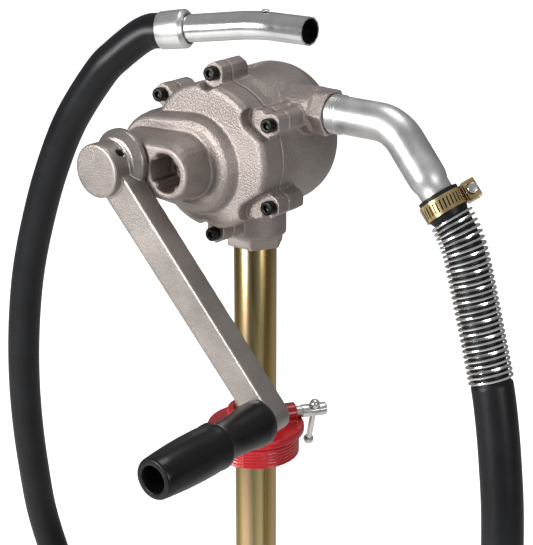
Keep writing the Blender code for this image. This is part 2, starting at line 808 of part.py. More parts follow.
def build_closure():
    """What closes the case: O-ring, bearing plate and cover screws."""
    bpy.ops.mesh.primitive_torus_add(
        major_segments=40,
        minor_segments=6,
        major_radius=RING_CIRCLE,
        minor_radius=RING_SECTION,
    )
    torus = bpy.context.object
    mesh = torus.data
    bpy.data.objects.remove(torus)
    height = CASING_FRONT - RING_SECTION - GAP
    part("cover_o_ring", mesh, "black_rubber", pump, (0, 0, height))

    plate = part(
        "bearing_plate",
        prism(plate_outline(0.0), CASING_FRONT + GAP, PLATE_FRONT),
        "cast_iron",
        pump,
    )
    rotor_bush = ROTOR_SHAFT_RADIUS + RUN + BUSH_WALL + GAP
    shaft_room = CRANK_SHAFT_RADIUS + RUN
    pocket = CASING_FRONT + 0.0025
    cut(
        plate,
        tool("plate_bush_bore", rod(rotor_bush, CASING_FRONT, PLATE_FRONT + 0.001, 40), rotor),
        tool("plate_pocket", rod(shaft_room, pocket, PLATE_FRONT + 0.001, 48), crank),
    )
    screw = build_screw()
    for i, (x, y) in enumerate(screw_places):
        part(f"cover_screw_{i + 1}", screw.copy(), "black_oxide", pump, (x, y, 0))


def build_screw():
    """A socket-head screw with its head's seat at the cover's."""
    seat = SEAT_FRONT + 0.0001
    top = seat + SCREW_HEAD_HEIGHT
    points = [
        (0, top),
        (SCREW_HEAD_RADIUS - 0.0005, top),
        (SCREW_HEAD_RADIUS, top - 0.0005),
        (SCREW_HEAD_RADIUS, seat),
        (SCREW_RADIUS, seat),
        (SCREW_RADIUS, SCREW_END),
        (0, SCREW_END),
    ]
    body = turned(tool("screw_body", profile(points, closed=False)), 14)
    cut(body, tool("screw_socket", rod(SCREW_SOCKET_RADIUS, top - SCREW_SOCKET_DEPTH, top + 0.001, 6)))
    return baked(body)


# ---- Gears, shafts, rotor ----
def build_drive():
    gear_front = GEAR_BACK + GEAR_WIDTH
    shaft_back = CASING_FRONT + 0.0028
    part("crank_shaft", rod(CRANK_SHAFT_RADIUS, shaft_back, CRANK_SHAFT_FRONT, 48),
         "machined_steel", crank)
    crank_gear = part("crank_gear", prism(gear_outline(CRANK_TEETH, 0), GEAR_BACK, gear_front),
                      "machined_steel", crank)
    cut(crank_gear, tool("crank_gear_bore",
                         rod(CRANK_SHAFT_RADIUS + GAP, GEAR_BACK - 0.001, gear_front + 0.001, 48), crank))
    bush_back = gear_front + GEAR_ROOM + GAP
    inner = CRANK_SHAFT_RADIUS + RUN
    bush = ring(inner, inner + BUSH_WALL, bush_back, bush_back + CRANK_BUSH_LENGTH)
    turned(part("crank_bush", bush, "bronze", crank))
    seal = ring(inner, inner + SEAL_WALL, BOSS_FRONT - SEAL_WIDTH, BOSS_FRONT - GAP)
    turned(part("shaft_seal", seal, "black_rubber", crank))

    first_gap = math.pi + math.pi / ROTOR_TEETH
    rotor_gear = part("rotor_gear", prism(gear_outline(ROTOR_TEETH, first_gap), GEAR_BACK, gear_front),
                      "machined_steel", rotor)
    bore = ROTOR_SHAFT_RADIUS + GAP
    cut(rotor_gear, tool("rotor_gear_bore", rod(bore, GEAR_BACK - 0.001, gear_front + 0.001, 40), rotor))
    shaft_back = CHAMBER_BACK - REAR_BUSH_LENGTH
    part("rotor_shaft", rod(ROTOR_SHAFT_RADIUS, shaft_back, gear_front, 40), "machined_steel", rotor)
    inner = ROTOR_SHAFT_RADIUS + RUN
    plate_bush = ring(inner, inner + BUSH_WALL, CASING_FRONT + GAP, PLATE_FRONT)
    turned(part("rotor_front_bush", plate_bush, "bronze", rotor), 40)
    rear_bush = ring(inner, inner + BUSH_WALL, shaft_back - GAP, CHAMBER_BACK)
    turned(part("rotor_rear_bush", rear_bush, "bronze", rotor), 40)


def build_rotor():
    low, high = CHAMBER_BACK + GAP, CASING_FRONT - GAP
    body = part("rotor", rod(ROTOR_RADIUS, low, high, 64), "cast_iron", rotor)
    cut(body, tool("rotor_bore", rod(ROTOR_SHAFT_RADIUS + GAP, low - 0.001, high + 0.001, 40), rotor))
    side = VANE_THICKNESS / 2
    slot_floor = ROTOR_RADIUS - VANE_HEIGHT - 2 * GAP
    for i in range(VANE_COUNT):
        turn = (0, 0, 2 * math.pi * i / VANE_COUNT)
        room = block((slot_floor, -side - GAP, low - 0.001),
                     (ROTOR_RADIUS + 0.002, side + GAP, high + 0.001))
        cut(body, tool(f"vane_slot_{i}", room, rotor, (0, 0, 0), turn))
        vane = block((slot_floor + GAP, -side, low), (ROTOR_RADIUS - GAP, side, high))
        part(f"vane_{i + 1}", vane, "carbon_vane", rotor, (0, 0, 0), turn)


# ---- Crank ----
def build_crank():
    back = BOSS_FRONT + 2 * GAP
    flange_front = back + HUB_FLANGE_WIDTH
    hub = [
        (0, HUB_FRONT),
        (HUB_RADIUS - 0.0006, HUB_FRONT),
        (HUB_RADIUS, HUB_FRONT - 0.0006),
        (HUB_RADIUS, back),
        (0, back),
    ]
    flange = [
        (0, flange_front + HUB_FILLET),
        (HUB_RADIUS - 0.0015, flange_front + HUB_FILLET),
        (HUB_FLANGE_RADIUS - 0.0010, flange_front),
        (HUB_FLANGE_RADIUS, flange_front - 0.0010),
        (HUB_FLANGE_RADIUS, back),
        (0, back),
    ]
    aside = SET_SCREW_ANGLE - ARM_ANGLE
    offset = (HUB_FLANGE_OFFSET * math.cos(aside), HUB_FLANGE_OFFSET * math.sin(aside), 0)
    body = turned(part("crank_arm", profile(hub, closed=False), "cast_aluminium", arm), 36)
    bar = slot(0, ARM_ROOT_WIDTH / 2, ARM_LENGTH, ARM_TIP_WIDTH / 2)
    join(
        body,
        tool("arm_bar", prism(bar, back, ARM_FRONT), arm),
        turned(tool("hub_flange", profile(flange, closed=False), arm, offset), 30),
    )
    shaft_room = CRANK_SHAFT_RADIUS + GAP
    screw_room = SET_SCREW_RADIUS + GAP
    radial = (0, math.radians(90), 0)
    hole = empty("set_screw_axis", crank, (0, 0, SET_SCREW_FRONT), (0, 0, SET_SCREW_ANGLE))
    cut(
        body,
        tool("hub_bore", rod(shaft_room, back - 0.001, CRANK_SHAFT_FRONT + GAP, 48), crank),
        tool("set_screw_hole", rod(screw_room, 0.001, HUB_RADIUS + 0.002, 20), hole, (0, 0, 0), radial),
        tool("spindle_hole", rod(SPINDLE_RADIUS + GAP, back - 0.001, ARM_FRONT + 0.001, 32), grip),
    )
    inner = CRANK_SHAFT_RADIUS + GAP
    set_screw = part("hub_set_screw", rod(SET_SCREW_RADIUS, inner, inner + SET_SCREW_LENGTH, 20),
                     "black_oxide", hole, (0, 0, 0), radial)
    reach_ = inner + SET_SCREW_LENGTH
    socket = rod(0.0013, reach_ - 0.002, reach_ + 0.001, 6)
    cut(set_screw, tool("set_screw_socket", socket, hole, (0, 0, 0), radial))


GRIP_SHAPE = [  # (share of the length from the arm, radius)
    (0.000, 0.0128),
    (0.020, 0.0138),
    (0.080, 0.0139),
    (0.160, 0.0131),
    (0.240, 0.0121),
    (0.320, 0.0117),
    (0.390, 0.0121),
    (0.425, 0.0129),
    (0.440, 0.0145),
    (0.470, 0.0145),
    (0.485, 0.0141),
    (0.560, 0.0144),
    (0.660, 0.0144),
    (0.780, 0.0140),
    (0.900, 0.0132),
    (0.985, 0.0124),
    (1.000, 0.0117),
]


def build_grip():
    start = ARM_FRONT + GAP
    end = start + GRIP_LENGTH
    bore = SPINDLE_RADIUS + GAP
    floor = end - GRIP_HOLLOW_DEPTH
    outer = [(radius, start + share * GRIP_LENGTH) for share, radius in GRIP_SHAPE]
    inner = [(bore, start), (bore, floor), (GRIP_HOLLOW_RADIUS, floor), (GRIP_HOLLOW_RADIUS, end)]
    section = profile(outer[::-1] + inner, closed=True)
    turned(part("grip", section, "black_plastic", grip), 28)

    washer_back = floor + GAP
    head_back = washer_back + WASHER_THICKNESS + GAP
    washer = ring(bore, WASHER_RADIUS, washer_back, washer_back + WASHER_THICKNESS)
    turned(part("grip_washer", washer, "bright_zinc", grip), 32)
    head_front = head_back + SPINDLE_HEAD_HEIGHT
    spindle = [
        (0, head_front),
        (SPINDLE_HEAD_RADIUS, head_front),
        (SPINDLE_HEAD_RADIUS, head_back),
        (SPINDLE_RADIUS, head_back),
        (SPINDLE_RADIUS, BOSS_FRONT + 3 * GAP),
        (0, BOSS_FRONT + 3 * GAP),
    ]
    body = turned(part("grip_spindle", profile(spindle, closed=False), "bright_zinc", grip), 32)
    cut(body, tool("spindle_socket", rod(0.0029, head_front - 0.003, head_front + 0.001, 6), grip))


# ---- Suction tubes ----
def build_tubes():
    bottom = TUBE_TOP - UPPER_TUBE_LENGTH
    inner = TUBE_RADIUS - TUBE_WALL
    upper = ring(inner, TUBE_RADIUS, bottom, TUBE_TOP)
    turned(part("suction_tube_upper", upper, "yellow_zinc", upright))
    lower_top = bottom - GAP
    lower_bottom = lower_top - LOWER_TUBE_LENGTH
    lower = ring(inner, TUBE_RADIUS, lower_bottom, lower_top)
    turned(part("suction_tube_lower", lower, "yellow_zinc", upright))
    half = COUPLING_LENGTH / 2
    socket = ring(TUBE_RADIUS + GAP, COUPLING_RADIUS, bottom - half, bottom + half)
    turned(part("tube_coupling", socket, "yellow_zinc", upright))

    top = lower_bottom + 0.015
    foot = lower_bottom - STRAINER_LENGTH + 0.015
    shell = [
        (TUBE_RADIUS + GAP, top),
        (STRAINER_RADIUS, top),
        (STRAINER_RADIUS, foot + 0.002),
        (STRAINER_RADIUS - 0.002, foot),
        (0.0045, foot),
        (0.0045, foot + 0.003),
        (inner, foot + 0.003),
        (inner, lower_bottom - GAP),
        (TUBE_RADIUS + GAP, lower_bottom - GAP),
    ]
    strainer = turned(part("foot_strainer", profile(shell, closed=True), "black_plastic", upright), 24)
    window_low = foot + 0.006
    window_high = lower_bottom - 0.006
    for i in range(4):
        turn = (0, 0, math.radians(22.5 + 45 * i))
        window = block((-0.03, -0.0022, window_low), (0.03, 0.0022, window_high))
        cut(strainer, tool(f"strainer_window_{i}", window, upright, (0, 0, 0), turn))


# ---- Bung adapter ----
def build_adapter():
    bore = TUBE_RADIUS + 2 * GAP
    bottom = -THREAD_RELIEF - THREAD_PITCH * THREAD_TURNS - 0.0002
    skirt = THREAD_RADIUS - THREAD_DEPTH - SKIRT_WALL
    thread = []
    for i in range(THREAD_TURNS):
        middle = -THREAD_RELIEF - THREAD_PITCH * (i + 0.5)
        thread.append((THREAD_RADIUS, middle + 0.15 * THREAD_PITCH))
        thread.append((THREAD_RADIUS, middle - 0.15 * THREAD_PITCH))
        thread.append((THREAD_RADIUS - THREAD_DEPTH, middle - 0.5 * THREAD_PITCH))
    section = [
        (bore, COLLAR_HEIGHT),
        (COLLAR_RADIUS - 0.001, COLLAR_HEIGHT),
        (COLLAR_RADIUS, COLLAR_HEIGHT - 0.001),
        (COLLAR_RADIUS, FLANGE_HEIGHT + 0.002),
        (COLLAR_RADIUS + 0.002, FLANGE_HEIGHT),
        (FLANGE_RADIUS - 0.001, FLANGE_HEIGHT),
        (FLANGE_RADIUS, FLANGE_HEIGHT - 0.001),
        (FLANGE_RADIUS, 0),
        (THREAD_RADIUS - THREAD_DEPTH, 0),
        (THREAD_RADIUS - THREAD_DEPTH, -THREAD_RELIEF),
        *thread,
        (THREAD_RADIUS - THREAD_DEPTH, bottom),
        (skirt, bottom),
        (skirt, -0.001),
        (bore, -0.001),
    ]
    body = turned(part("bung_adapter", profile(section, closed=True), "red_paint", adapter), 32)
    axis = facing("clamp_axis", (0, 0, CLAMP_HEIGHT),
                  (math.cos(CLAMP_ANGLE), math.sin(CLAMP_ANGLE), 0), (0, 0, -1))
    join(body, tool("clamp_boss", rod(CLAMP_BOSS_RADIUS, bore + 0.002, CLAMP_BOSS_REACH, 32), axis))
    cut(body, tool("clamp_hole", rod(CLAMP_SCREW_RADIUS + RUN, 0.005, CLAMP_BOSS_REACH + 0.001, 32), axis))

    tip = TUBE_RADIUS + GAP
    screw = [
        (0, CLAMP_HEAD_END),
        (CLAMP_HEAD_RADIUS - 0.0006, CLAMP_HEAD_END),
        (CLAMP_HEAD_RADIUS, CLAMP_HEAD_END - 0.0006),
        (CLAMP_HEAD_RADIUS, CLAMP_HEAD_START),
        (CLAMP_SCREW_RADIUS, CLAMP_HEAD_START),
        (CLAMP_SCREW_RADIUS, tip + 0.001),
        (CLAMP_SCREW_RADIUS - 0.001, tip),
        (0, tip),
    ]
    clamp = turned(part("clamp_screw", profile(screw, closed=False), "bright_zinc", axis), 32)
    middle = (CLAMP_HEAD_START + CLAMP_HEAD_END) / 2
    bar_axis = empty("bar_axis", axis, (0, 0, middle), (0, math.radians(90), BAR_TILT))
    top = -BAR_BALL_SEAT
    bpy.ops.mesh.primitive_uv_sphere_add(segments=16, ring_count=8, radius=BAR_BALL_RADIUS + GAP)
    ball = bpy.context.object
    seat = ball.data
    bpy.data.objects.remove(ball)
    cut(
        clamp,
        tool("bar_hole", rod(BAR_RADIUS + GAP, -0.01, 0.01, 20), bar_axis),
        tool("bar_seat", seat, bar_axis, (0, 0, top)),
    )
    section = ball_bar(top, top + BAR_LENGTH)
    turned(part("tommy_bar", profile(section, closed=False), "bright_zinc", bar_axis), 24)


def ball_bar(low, high):
    """The half section of a bar with a ball at each end, from its upper end down."""
    last = math.pi - math.asin(BAR_RADIUS / BAR_BALL_RADIUS)
    arc = [last * i / 5 for i in range(6)]
    upper = [(BAR_BALL_RADIUS * math.sin(a), high + BAR_BALL_RADIUS * math.cos(a)) for a in arc]
    lower = [(radius, low + high - z) for radius, z in upper]
    return upper + lower[::-1]


# ---- Outlet, hose and spout ----
def outlet_line():
    """The elbow's centreline and the direction of its last straight."""
    height = PUMP_HEIGHT + OUTLET_HEIGHT
    line = [Vector((PIPE_START, 0, height)), Vector((0.066, 0, height))]
    steps = 7
    for i in range(steps + 1):
        turn = BEND_TURN * i / steps
        line.append(Vector((BEND_START + BEND_RADIUS * math.sin(turn), 0,
                            height - BEND_RADIUS * (1 - math.cos(turn)))))
    direction = Vector((math.cos(BEND_TURN), 0, -math.sin(BEND_TURN)))
    return line, direction


def build_outlet():
    line, direction = outlet_line()
    end = line[-1]
    straight = [end + direction * s for s in (SPIGOT_START - 0.003, SPIGOT_START, PIPE_END)]
    narrow = PIPE_SPIGOT_RADIUS / PIPE_RADIUS
    factors = [1.0] * (len(line) + 1) + [narrow, narrow]
    elbow = part("outlet_elbow", pipe_mesh(line + straight, PIPE_RADIUS, factors), "bright_zinc")
    bore = PIPE_RADIUS - PIPE_WALL
    inner = [line[0] - Vector((0.001, 0, 0)), *line[1:], *straight[:2], straight[2] + direction * 0.001]
    narrow_bore = (PIPE_SPIGOT_RADIUS - PIPE_WALL) / bore
    factors[-2:] = [narrow_bore, narrow_bore]
    cut(elbow, tool("elbow_bore", pipe_mesh(inner, bore, factors)))

    band_axis = facing("hose_clamp_axis", end + direction * (CLAMP_BAND_START + CLAMP_BAND_WIDTH / 2),
                       direction, (math.sin(BEND_TURN), 1, math.cos(BEND_TURN)))
    half = CLAMP_BAND_WIDTH / 2
    inner = HOSE_RADIUS + GAP
    outer = inner + BAND_THICKNESS
    turned(part("hose_clamp_band", ring(inner, outer, -half, half), "yellow_zinc", band_axis))
    foot = outer + GAP
    housing = part("hose_clamp_housing",
                   block((foot, -0.0065, -half - 0.001), (foot + 0.0080, 0.0065, half + 0.001)),
                   "yellow_zinc", band_axis)
    screw_axis = empty("worm_axis", band_axis, (foot + 0.0042, 0, 0), (math.radians(90), 0, 0))
    cut(housing, tool("worm_room", rod(0.0035, -0.02, 0.02, 24), screw_axis))
    worm = [
        (0, 0.0120),
        (0.0042, 0.0120),
        (0.0042, 0.0070),
        (0.0031, 0.0070),
        (0.0031, -0.0090),
        (0, -0.0090),
    ]
    turned(part("hose_clamp_screw", profile(worm, closed=False), "bright_zinc", screw_axis), 20)


def hose_line():
    """The hose's centreline, from its end on the outlet pipe to its end in the ferrule."""
    line, direction = outlet_line()
    end = line[-1]
    start = [end + direction * s for s in (HOSE_START, PIPE_END - 0.008, PIPE_END, PIPE_END + 0.007)]
    last = Vector(HOSE_END)
    ahead = Vector(HOSE_END_DIRECTION).normalized()
    approach = [last - ahead * s for s in (FERRULE_LENGTH + 0.006, FERRULE_LENGTH, FERRULE_LENGTH / 2, 0)]
    route = start + [Vector(p) for p in HOSE_ROUTE] + approach
    return smooth_line(route, 0.002)


def build_hose():
    line = hose_line()
    length = line_length(line)
    narrow = (SPRING_START - 0.002, SPRING_END + 0.002)
    wide = (narrow[0] - 0.002, narrow[1] + 0.002)
    count = round(length / HOSE_STEP)
    places = [length * i / count for i in range(count + 1)]
    guarded = [narrow[0] + (narrow[1] - narrow[0]) * i / 8 for i in range(1, 8)]
    exact = [*narrow, *guarded, *wide, length - FERRULE_LENGTH]
    places = [s for s in places if min(abs(s - end) for end in exact) > 0.004]
    places = sorted(places + exact)
    factors = [GUARDED_RADIUS / HOSE_RADIUS if narrow[0] <= s <= narrow[1] else 1 for s in places]
    step = length / (len(line) - 1)
    points = []
    for s in places:
        k = min(int(s / step), len(line) - 2)
        points.append(line[k].lerp(line[k + 1], s / step - k))
    hose = part("hose", pipe_mesh(points, HOSE_RADIUS, factors, 3), "black_rubber")
    outlet, direction = outlet_line()
    spigot = facing("spigot_axis", outlet[-1], direction, (0, 1, 0))
    room = rod(PIPE_SPIGOT_RADIUS + GAP, HOSE_START - 0.004, PIPE_END + GAP, 40)
    cut(hose, tool("spigot_room", room, spigot))
    build_spring(line)


def build_spring(line):
    """The spring guard's wire, wound round the hose's line."""
    step = line_length(line) / (len(line) - 1)
    per_turn = 8
    count = SPRING_TURNS * per_turn
    wire = []
    for i in range(count + 1):
        along = (SPRING_START + (SPRING_END - SPRING_START) * i / count) / step
        k = int(along)
        centre = line[k].lerp(line[k + 1], along - k)
        ahead = (line[k + 3] - line[max(k - 3, 0)]).normalized()
        side = Vector((0, 1, 0)).cross(ahead).normalized()
        up = ahead.cross(side)
        angle = 2 * math.pi * i / per_turn
        wire.append(centre + SPRING_RADIUS * (math.cos(angle) * side + math.sin(angle) * up))
    part("spring_guard", pipe_mesh(wire, SPRING_WIRE_RADIUS, None, 0), "bright_zinc")


def build_spout():
    ahead = Vector(HOSE_END_DIRECTION).normalized()
    axis = facing("ferrule_axis", HOSE_END, ahead, (0, 0, 1))
    mouth = FERRULE_LIP
    back = mouth - FERRULE_LENGTH
    shell = [
        (SPOUT_RADIUS + GAP, mouth),
        (FERRULE_RADIUS - 0.0025, mouth),
        (FERRULE_RADIUS, mouth - 0.0025),
        (FERRULE_BACK_RADIUS, back),
        (HOSE_RADIUS + GAP, back),
        (HOSE_RADIUS + GAP, GAP),
        (SPOUT_RADIUS + GAP, GAP),
    ]
    turned(part("ferrule", profile(shell, closed=True), "bright_zinc", axis))
    end = Vector(HOSE_END)
    route = [end + ahead * GAP, end + ahead * 0.012, *[Vector(p) for p in SPOUT_ROUTE]]
    line = smooth_line(route, 0.009)
    spout = part("nozzle_spout", pipe_mesh(line, SPOUT_RADIUS), "bright_zinc")
    bore = [2 * line[0] - line[1], *line[1:-1], 2 * line[-1] - line[-2]]
    cut(spout, tool("spout_bore", pipe_mesh(bore, SPOUT_RADIUS - SPOUT_WALL)))
    bend = Vector(SPOUT_ROUTE[SPOUT_BEND])
    top = SPOUT_RADIUS + GAP
    dome = [
        (0, top + RIVET_HEIGHT),
        (0.55 * RIVET_RADIUS, top + 0.85 * RIVET_HEIGHT),
        (RIVET_RADIUS, top + 0.35 * RIVET_HEIGHT),
        (RIVET_RADIUS, top),
        (0, top),
    ]
    turned(part("spout_rivet", profile(dome, closed=False), "bright_zinc", None, bend), 20)


build_front_cover()
build_rear_casing()
build_closure()
build_drive()
build_rotor()
build_crank()
build_grip()
build_tubes()
build_adapter()
build_outlet()
build_hose()
build_spout()

for piece in parts.objects:
    if piece.type == "MESH":
        piece.data.shade_smooth()
        piece.data.set_sharp_from_angle(angle=math.radians(35))
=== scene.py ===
"""The looks of a rotary hand transfer pump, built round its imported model. Metres, +Z up."""
import json
import math

import bmesh
import bpy
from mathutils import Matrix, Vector


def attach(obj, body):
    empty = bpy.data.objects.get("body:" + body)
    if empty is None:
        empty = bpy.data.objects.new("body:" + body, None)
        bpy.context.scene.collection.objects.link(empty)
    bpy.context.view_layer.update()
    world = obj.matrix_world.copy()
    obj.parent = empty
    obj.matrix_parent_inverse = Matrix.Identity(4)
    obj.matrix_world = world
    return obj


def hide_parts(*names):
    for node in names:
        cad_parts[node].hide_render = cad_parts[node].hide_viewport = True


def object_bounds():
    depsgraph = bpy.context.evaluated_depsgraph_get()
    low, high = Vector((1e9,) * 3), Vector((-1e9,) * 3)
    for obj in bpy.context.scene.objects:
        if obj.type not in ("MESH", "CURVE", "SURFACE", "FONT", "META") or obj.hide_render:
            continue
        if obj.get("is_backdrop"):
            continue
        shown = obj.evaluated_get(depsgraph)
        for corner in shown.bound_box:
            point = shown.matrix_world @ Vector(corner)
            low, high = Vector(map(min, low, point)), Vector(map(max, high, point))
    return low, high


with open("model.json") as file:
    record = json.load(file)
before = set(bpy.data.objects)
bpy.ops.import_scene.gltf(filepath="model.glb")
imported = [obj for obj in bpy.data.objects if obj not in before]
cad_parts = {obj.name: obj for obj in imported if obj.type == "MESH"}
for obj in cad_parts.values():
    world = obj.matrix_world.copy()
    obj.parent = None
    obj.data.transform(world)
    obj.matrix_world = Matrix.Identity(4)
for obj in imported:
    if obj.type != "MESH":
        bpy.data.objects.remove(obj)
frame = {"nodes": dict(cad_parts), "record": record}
cad_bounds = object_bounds()

# ---- Camera ----
# A long lens in front of the pump, to its right and a little above it.
bpy.ops.object.camera_add(location=(0.584, -0.725, 0.449),
                          rotation=(math.radians(70.2), 0, math.radians(38.4)))
camera = bpy.context.object
camera.data.lens = 99.08
camera.data.sensor_width = 36
bpy.context.scene.camera = camera
bpy.context.scene.view_settings.view_transform = "Standard"

# ---- Hose ----
# Black rubber hose with a 25.6 mm outside. It is pushed over the outlet pipe's end, hangs in one
# loop and comes back up to the spout.
PUMP_HEIGHT = 0.203
HOSE_RADIUS = 0.0128
GUARDED_RADIUS = 0.0111
PIPE_RADIUS = 0.0117
OUTLET_HEIGHT = PUMP_HEIGHT + 0.0277
BEND_START = 0.0945
BEND_RADIUS = 0.026
BEND_TURN = math.radians(50.5)
HOSE_START = 0.0363
PIPE_END = 0.0583
SPRING_START = 0.0150
SPRING_END = 0.116
FERRULE_LENGTH = 0.0215
EASING_PASSES = 60
EASED_STRETCHES = (*range(9, 60), *range(470, 640))
COLLAR_BLEND = 0.002  # over which the guard's grip on the hose begins and ends
HOSE_ROUTE = [
    (0.1640, -0.0010, 0.1460),
    (0.1765, -0.0040, 0.1090),
    (0.1868, -0.0070, 0.0780),
    (0.1955, -0.0110, 0.0390),
    (0.2020, -0.0150, -0.0050),
    (0.2070, -0.0200, -0.0870),
    (0.2040, -0.0190, -0.1670),
    (0.1870, -0.0110, -0.2470),
    (0.1530, 0.0030, -0.3200),
    (0.1000, 0.0200, -0.3780),
    (0.0340, 0.0370, -0.4180),
    (-0.0400, 0.0530, -0.4340),
    (-0.1130, 0.0650, -0.4220),
    (-0.1790, 0.0720, -0.3860),
    (-0.2330, 0.0750, -0.3320),
    (-0.2700, 0.0720, -0.2670),
    (-0.2901, 0.0650, -0.1996),
    (-0.2904, 0.0570, -0.1477),
    (-0.2888, 0.0510, -0.0976),
    (-0.2848, 0.0470, -0.0492),
    (-0.2785, 0.0450, -0.0024),
    (-0.2688, 0.0440, 0.0434),
    (-0.2545, 0.0440, 0.0884),
    (-0.2369, 0.0445, 0.1322),
    (-0.2148, 0.0460, 0.1747),
    (-0.1855, 0.0500, 0.2145),
    (-0.1700, 0.0545, 0.2300),
    (-0.1550, 0.0598, 0.2425),
]
HOSE_END = Vector((-0.1195, 0.0699, 0.2513))
HOSE_END_DIRECTION = Vector((0.958, 0.252, 0.140)).normalized()


def smooth_line(points, step):
    """Points an even step apart on a smooth curve through the given points."""
    knots = [Vector(p) for p in points]
    knots = [2 * knots[0] - knots[1], *knots, 2 * knots[-1] - knots[-2]]
    dense = []
    for a, b, c, d in zip(knots, knots[1:], knots[2:], knots[3:]):
        for i in range(24):
            t = i / 24
            dense.append(0.5 * (2 * b + (c - a) * t + (2 * a - 5 * b + 4 * c - d) * t**2
                                + (3 * b - a - 3 * c + d) * t**3))
    dense.append(knots[-2])
    along = [0.0]
    for a, b in zip(dense, dense[1:]):
        along.append(along[-1] + (b - a).length)
    count = max(2, round(along[-1] / step))
    even = []
    k = 0
    for i in range(count + 1):
        target = along[-1] * i / count
        while k < len(dense) - 2 and along[k + 1] < target:
            k += 1
        t = (target - along[k]) / max(along[k + 1] - along[k], 1e-9)
        even.append(dense[k].lerp(dense[k + 1], min(max(t, 0), 1)))
    return even


def line_length(line):
    return sum((b - a).length for a, b in zip(line, line[1:]))


def outlet_line(steps):
    """The elbow's centreline round its bend, and the direction in which it ends."""
    line = []
    for i in range(steps + 1):
        turn = BEND_TURN * i / steps
        line.append(Vector((BEND_START + BEND_RADIUS * math.sin(turn), 0,
                            OUTLET_HEIGHT - BEND_RADIUS * (1 - math.cos(turn)))))
    return line, Vector((math.cos(BEND_TURN), 0, -math.sin(BEND_TURN)))


def sweep(name, line, radius, factors=None, sides=7):
    """A round bar along a line, as a mesh; factors scale its radius at each point."""
    data = bpy.data.curves.new(name, "CURVE")
    data.dimensions = "3D"
    data.bevel_depth = radius
    data.bevel_resolution = sides
    data.use_fill_caps = True
    spline = data.splines.new("POLY")
    spline.points.add(len(line) - 1)
    for i, point in enumerate(line):
        spline.points[i].co = (*point, 1)
        spline.points[i].radius = factors[i] if factors else 1
    piece = bpy.data.objects.new(name, data)
    bpy.context.scene.collection.objects.link(piece)
    bpy.ops.object.select_all(action="DESELECT")
    piece.select_set(True)
    bpy.context.view_layer.objects.active = piece
    bpy.ops.object.convert(target="MESH")
    piece = bpy.context.object
    bpy.ops.object.shade_smooth_by_angle(angle=math.radians(40))
    return piece


def shader_group(name, inputs, output):
    """An empty node group with named inputs and one named output, and its two end nodes."""
    group = bpy.data.node_groups.new(name, "ShaderNodeTree")
    for label, kind, value in inputs:
        socket = group.interface.new_socket(label, in_out="INPUT", socket_type=kind)
        socket.default_value = value
    group.interface.new_socket(output, in_out="OUTPUT", socket_type="NodeSocketFloat")
    return group, group.nodes.new("NodeGroupInput"), group.nodes.new("NodeGroupOutput")


def new_material(name):
    material = bpy.data.materials.new(name)
    material.use_nodes = True
    shader = material.node_tree.nodes["Principled BSDF"]
    return material, material.node_tree, shader


def node(tree, kind, **settings):
    made = tree.nodes.new(kind)
    for key, value in settings.items():
        setattr(made, key, value)
    return made


# Fine noise over the surface, on the piece's own coordinates.
grain_group, given, result = shader_group("surface_grain", (
    ("Scale", "NodeSocketFloat", 100.0), ("Detail", "NodeSocketFloat", 3.0),
    ("Roughness", "NodeSocketFloat", 0.5), ("Stretch", "NodeSocketVector", (1, 1, 1))), "Grain")
coordinates = node(grain_group, "ShaderNodeTexCoord")
mapping = node(grain_group, "ShaderNodeMapping")
texture = node(grain_group, "ShaderNodeTexNoise")
grain_group.links.new(coordinates.outputs["Object"], mapping.inputs["Vector"])
grain_group.links.new(given.outputs["Stretch"], mapping.inputs["Scale"])
grain_group.links.new(mapping.outputs["Vector"], texture.inputs["Vector"])
for label in ("Scale", "Detail", "Roughness"):
    grain_group.links.new(given.outputs[label], texture.inputs[label])
grain_group.links.new(texture.outputs["Fac"], result.inputs["Grain"])


def noise(tree, scale, detail=3.0, rough=0.5, stretch=(1, 1, 1)):
    """The surface grain, placed in one material with its own values."""
    grain = node(tree, "ShaderNodeGroup", node_tree=grain_group)
    grain.inputs["Scale"].default_value = scale
    grain.inputs["Detail"].default_value = detail
    grain.inputs["Roughness"].default_value = rough
    grain.inputs["Stretch"].default_value = stretch
    return grain.outputs["Grain"]


def ramp(tree, source, stops):
    made = node(tree, "ShaderNodeValToRGB")
    points = made.color_ramp.elements
    while len(points) < len(stops):
        points.new(0.5)
    for point, (position, colour) in zip(points, stops):
        point.position = position
        point.color = (*colour, 1) if len(colour) == 3 else (colour[0],) * 3 + (1,)
    tree.links.new(source, made.inputs["Fac"])
    return made.outputs["Color"]


def bump(tree, shader, height, strength, distance):
    made = node(tree, "ShaderNodeBump")
    made.inputs["Strength"].default_value = strength
    made.inputs["Distance"].default_value = distance
    tree.links.new(height, made.inputs["Height"])
    tree.links.new(made.outputs["Normal"], shader.inputs["Normal"])


bend, bend_direction = outlet_line(7)
bend_end = bend[-1]
start = [bend_end + bend_direction * s
         for s in (HOSE_START, PIPE_END - 0.008, PIPE_END, PIPE_END + 0.007)]
approach = [HOSE_END - HOSE_END_DIRECTION * s
            for s in (FERRULE_LENGTH + 0.006, FERRULE_LENGTH, FERRULE_LENGTH / 2, 0)]
hose_route = smooth_line(start + [Vector(p) for p in HOSE_ROUTE] + approach, 0.002)
for easing in range(EASING_PASSES):
    eased_route = hose_route[:]
    for i in EASED_STRETCHES:
        eased_route[i] = (hose_route[i - 1] + 2 * hose_route[i] + hose_route[i + 1]) / 4
    hose_route = eased_route
hose_length = line_length(hose_route)
hose_step = hose_length / (len(hose_route) - 1)
guard = (SPRING_START - COLLAR_BLEND, SPRING_END + COLLAR_BLEND)
hose_factors = []
for i in range(len(hose_route)):
    inside = min(i * hose_step - guard[0], guard[1] - i * hose_step)
    hose_factors.append(1 - (1 - GUARDED_RADIUS / HOSE_RADIUS) * min(max(inside / COLLAR_BLEND, 0), 1))

